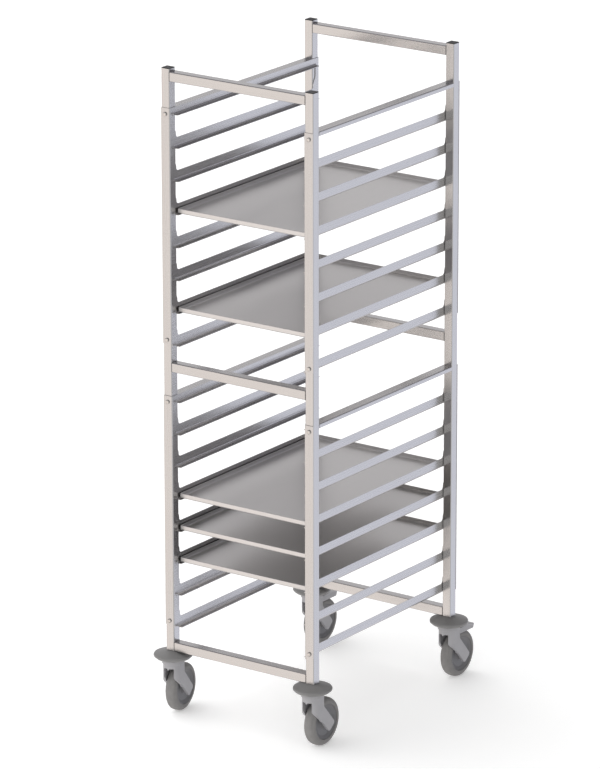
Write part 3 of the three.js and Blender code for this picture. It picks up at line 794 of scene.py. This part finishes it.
def draw_fork_window(bm):
    """Front opening in (x, z), with a short tooth in the middle of its top edge."""
    side = FORK_WINDOW_HALF
    top = FORK_WINDOW_TOP
    tooth = top - FORK_TOOTH_DROP
    outline = rounded([
        (-side, -POST_FOOT, 0), (side, -POST_FOOT, 0), (side, top, 1.5), (2.6, top, 0.6),
        (1.8, tooth, 0.6), (-1.8, tooth, 0.6), (-2.6, top, 0.6), (-side, top, 1.5)])
    prism(bm, "Y", outline, -POST_FOOT, 0)


def make_fork_pattern():
    fork = solid("fork_pattern", draw_fork_arms, (FORK_PLASTIC,))
    combine(fork, "INTERSECT", draw_fork_plan)
    combine(fork, "UNION", draw_fork_collar)
    combine(fork, "DIFFERENCE", draw_fork_slot)
    combine(fork, "DIFFERENCE", draw_fork_window)
    merge_flats(fork)
    soften(fork, edge=0.8, sharp=30)
    return fork


def draw_tyre(bm):
    section = rounded(both_sides([
        (TYRE_BORE, -TYRE_HALF_WIDTH, 0.4), (WHEEL_RADIUS - 9, -TYRE_HALF_WIDTH, 5),
        (WHEEL_RADIUS - 2, -11.2, 6), (WHEEL_RADIUS, -5, 9)]), 8)
    turned(bm, section, 160, closed=True, axis="X")


def draw_wheel_centre(bm):
    section = rounded(both_sides([
        (AXLE_BORE, -HUB_HALF_WIDTH, 0.6), (HUB_RADIUS, -HUB_HALF_WIDTH, 1.5), (18, -9, 2),
        (36, -9, 3), (RIM_RADIUS, -RIM_HALF_WIDTH, 1)]), 5)
    turned(bm, section, 128, closed=True, axis="X")


def draw_pedal_sides(bm):
    """Skirts either side of the pedal's plate, in (y, z)."""
    outline = rounded([
        (16, -39.5, 1), (18, -51, 2), (24, -53.2, 4), (PEDAL_END - 3, -54, 3),
        (PEDAL_END, -43.5, 2), (60, -39.5, 8)])
    prism(bm, "X", outline, -PEDAL_HALF_WIDTH, -PEDAL_NECK_HALF)
    prism(bm, "X", outline, PEDAL_NECK_HALF, PEDAL_HALF_WIDTH)


def draw_pedal_plate(bm):
    outline = rounded([
        (10, -42.2, 0.5), (13.5, -47.5, 1), (20, -42.5, 2), (60, -42.5, 12),
        (PEDAL_END, -46.5, 1.5), (PEDAL_END, -41.7, 1.5), (60, -38.5, 12), (17, -38.5, 3)])
    prism(bm, "X", outline, -PEDAL_HALF_WIDTH, PEDAL_HALF_WIDTH)


def draw_pedal_hub(bm):
    hub = circle(5.5, PEDAL_PIVOT_Y, PEDAL_PIVOT_Z, 48)
    pin = circle(3, PEDAL_PIVOT_Y, PEDAL_PIVOT_Z, 32)
    prism(bm, "X", hub, -PEDAL_NECK_HALF, PEDAL_NECK_HALF)
    prism(bm, "X", pin, -PEDAL_PIN_HALF, PEDAL_PIN_HALF)


def draw_pedal_neck_gap(bm):
    """The neck between the fork's arms is narrower than the plate behind it."""
    gap = rectangle(-20, 18, -44, -30)
    prism(bm, "X", gap, -PEDAL_HALF_WIDTH - 1, -PEDAL_NECK_HALF)
    prism(bm, "X", gap, PEDAL_NECK_HALF, PEDAL_HALF_WIDTH + 1)


def make_pedal_pattern():
    pedal = solid("pedal_pattern", draw_pedal_plate, (FORK_PLASTIC,))
    combine(pedal, "DIFFERENCE", draw_pedal_neck_gap)
    combine(pedal, "UNION", draw_pedal_sides)
    combine(pedal, "UNION", draw_pedal_hub)
    merge_flats(pedal)
    soften(pedal, edge=0.5, sharp=35)
    return pedal


def make_castors():
    fork = make_fork_pattern()
    pedal = make_pedal_pattern()
    disc = solid("disc_pattern", draw_disc, (BUMPER_PLASTIC,))
    tyre = solid("tyre_pattern", draw_tyre, (TYRE_RUBBER,))
    centre = solid("centre_pattern", draw_wheel_centre, (RIM_PLASTIC,))
    for pattern in (disc, tyre, centre):
        soften(pattern, sharp=60)
    at_axle = Matrix.Translation((0, WHEEL_TRAIL, AXLE_Z))
    for corner in CORNERS:
        place = castor_place(corner)
        low, high = box_mm("bumper_disc_" + corner)
        middle = (low + high) / 2
        made = (
            (disc, "bumper_disc_", "moulded", "rack_frame", "bumper_plastic",
             lift(middle.y, middle.x)),
            (fork, "castor_fork_", "moulded", "castor_" + corner, "fork_plastic", place),
            (tyre, "wheel_tyre_", "rubber", "wheel_" + corner, "tyre_rubber", place @ at_axle),
            (centre, "wheel_centre_", "moulded", "wheel_" + corner, "rim_plastic",
             place @ at_axle),
        )
        for pattern, kind, suffix, body, slot, transform in made:
            piece = copy_piece(pattern, f"{kind}{corner}_{suffix}", transform)
            stand_for(piece, body, slot, kind + corner)
        if "brake_pedal_" + corner in frame["nodes"]:
            piece = copy_piece(pedal, f"brake_pedal_{corner}_moulded", place)
            stand_for(piece, "pedal_" + corner, "fork_plastic", "brake_pedal_" + corner)
    for pattern in (fork, pedal, disc, tyre, centre):
        bpy.data.objects.remove(pattern)


def finish_cad_nodes():
    """The hidden steel parts of the castors keep their CAD shape and get a real finish."""
    for name, node in frame["nodes"].items():
        if name.startswith(("castor_stem_", "wheel_axle_", "brake_shoe_")):
            node.data.materials.clear()
            node.data.materials.append(AXLE_STEEL)


# ---------------------------------------------------------------- stage


def make_camera():
    azimuth = math.radians(35.268)
    elevation = math.radians(17.2986)
    roll = math.radians(-0.09955)
    distance = 14317.6 * MM
    target = Vector((-24.716, -43.113, 842.484)) * MM
    back = Vector((math.sin(azimuth) * math.cos(elevation),
                   -math.cos(azimuth) * math.cos(elevation), math.sin(elevation)))
    level = Vector((math.cos(azimuth), math.sin(azimuth), 0))
    upward = back.cross(level)
    right = math.cos(roll) * level + math.sin(roll) * upward
    up = math.cos(roll) * upward - math.sin(roll) * level
    data = bpy.data.cameras.new("camera")
    data.sensor_width = 36
    data.lens = 264.07
    data.clip_end = 200
    camera = bpy.data.objects.new("camera", data)
    camera.matrix_world = Matrix.Translation(target + back * distance) @ Matrix(
        (right, up, back)).transposed().to_4x4()
    bpy.context.scene.collection.objects.link(camera)
    bpy.context.scene.camera = camera


FLOOR_HALF = 30.0                   # metres
FLOOR_GLOW = 0.27                   # light from below that thins the shadows


def make_floor():
    mesh = bpy.data.meshes.new("floor")
    h = FLOOR_HALF
    mesh.from_pydata([(-h, -h, 0), (h, -h, 0), (h, h, 0), (-h, h, 0)], [], [(0, 1, 2, 3)])
    finish = Finish("floor_paint", (0.9, 0.9, 0.9), 0.0, 0.9)
    finish.vary_colour(finish.noise((3, 3, 3), 3), (0.9, 0.9, 0.9), (0.912, 0.911, 0.91))
    finish.shader.inputs["Specular IOR Level"].default_value = 0.1
    finish.shader.inputs["Emission Color"].default_value = (1, 1, 1, 1)
    finish.shader.inputs["Emission Strength"].default_value = FLOOR_GLOW
    mesh.materials.append(finish.material)
    floor = bpy.data.objects.new("floor", mesh)
    bpy.context.scene.collection.objects.link(floor)
    floor.visible_glossy = False


def world_node(tree, kind, **inputs):
    """A node whose named inputs are numbers, colours or links from other nodes."""
    node = tree.nodes.new(kind)
    for name, value in inputs.items():
        socket = node.inputs[name.replace("_", " ")]
        if isinstance(value, bpy.types.NodeSocket):
            tree.links.new(value, socket)
        else:
            socket.default_value = value
    return node


def towards(tree, direction, axis, low, high):
    """0 to 1 as a ray turns towards an axis, from low to high along it, eased at both ends."""
    dot = tree.nodes.new("ShaderNodeVectorMath")
    dot.operation = "DOT_PRODUCT"
    tree.links.new(direction, dot.inputs[0])
    dot.inputs[1].default_value = axis
    ease = world_node(tree, "ShaderNodeMapRange", Value=dot.outputs["Value"],
                      From_Min=low, From_Max=high)
    ease.interpolation_type = "SMOOTHSTEP"
    return ease.outputs["Result"]


def blend_colours(tree, factor, first, second):
    mix = tree.nodes.new("ShaderNodeMix")
    mix.data_type = "RGBA"
    sockets = [i for i in mix.inputs if i.enabled]
    for socket, value in zip(sockets, (factor, first, second)):
        if isinstance(value, bpy.types.NodeSocket):
            tree.links.new(value, socket)
        else:
            socket.default_value = value
    return [o for o in mix.outputs if o.enabled][0]


def grey(level):
    return (level, level, level, 1)


WARM_SCREEN = (1.28, 1.19, 1.13, 1)
COOL_SCREEN = (0.955, 0.985, 1.105, 1)
UPPER_WALL = (0.22, 0.215, 0.245, 1)
FRONT_WALL = grey(0.75)
BACK_WALL = (0.67, 0.66, 0.675, 1)
CEILING = grey(0.8)
GROUND = (1.0, 0.96, 0.94, 1)
ROOM_NEAR = grey(1.42)
ROOM_FAR = grey(0.35)


def make_world():
    """Mirror reflections see a studio: a warm screen on the left, a cool one on the right,
    grey walls before and behind, and a dark wall between the screens and the ceiling.
    All other light is white, and stronger from the camera's left."""
    world = bpy.data.worlds.new("studio")
    world.use_nodes = True
    tree = world.node_tree
    direction = tree.nodes.new("ShaderNodeTexCoord").outputs["Generated"]
    turn = math.radians(35.3)
    across = (math.cos(turn), math.sin(turn), 0)
    front = (math.sin(turn), -math.cos(turn), 0)
    behind = (-math.sin(turn), math.cos(turn), 0)
    rightward = towards(tree, direction, across, -0.5, 0.5)
    screens = blend_colours(tree, rightward, WARM_SCREEN, COOL_SCREEN)
    above_screens = towards(tree, direction, (0, 0, 1), -0.05, 0.2)
    screens = blend_colours(tree, above_screens, screens, UPPER_WALL)
    backward = towards(tree, direction, behind, 0.45, 0.9)
    screens = blend_colours(tree, backward, screens, BACK_WALL)
    frontward = towards(tree, direction, front, 0.4, 0.8)
    screens = blend_colours(tree, frontward, screens, FRONT_WALL)
    downward = towards(tree, direction, (0, 0, -1), 0.4, 0.8)
    screens = blend_colours(tree, downward, screens, GROUND)
    upward = towards(tree, direction, (0, 0, 1), 0.7, 0.95)
    studio = blend_colours(tree, upward, screens, CEILING)
    is_glossy = tree.nodes.new("ShaderNodeLightPath").outputs["Is Glossy Ray"]
    far_side = towards(tree, direction, (0.7, 0.7, 0), -0.5, 0.5)
    room = blend_colours(tree, far_side, ROOM_NEAR, ROOM_FAR)
    seen = blend_colours(tree, is_glossy, room, studio)
    tree.links.new(seen, tree.nodes["Background"].inputs["Color"])
    bpy.context.scene.world = world


def make_lights():
    """One large soft light high on the left, behind the rack."""
    data = bpy.data.lights.new("key", "SUN")
    data.energy = 0.45
    data.angle = math.radians(60)
    key = bpy.data.objects.new("key", data)
    key.rotation_euler = Vector((-0.45, 0.25, 1.0)).to_track_quat("Z", "Y").to_euler()
    key.visible_glossy = False
    bpy.context.scene.collection.objects.link(key)


# ---------------------------------------------------------------- the scene

make_camera()
make_floor()
make_world()
make_lights()
make_end_frames()
make_end_caps()
make_side_panels()
make_screws()
make_pans()
make_castors()
finish_cad_nodes()
bpy.context.scene.view_settings.view_transform = "Standard"
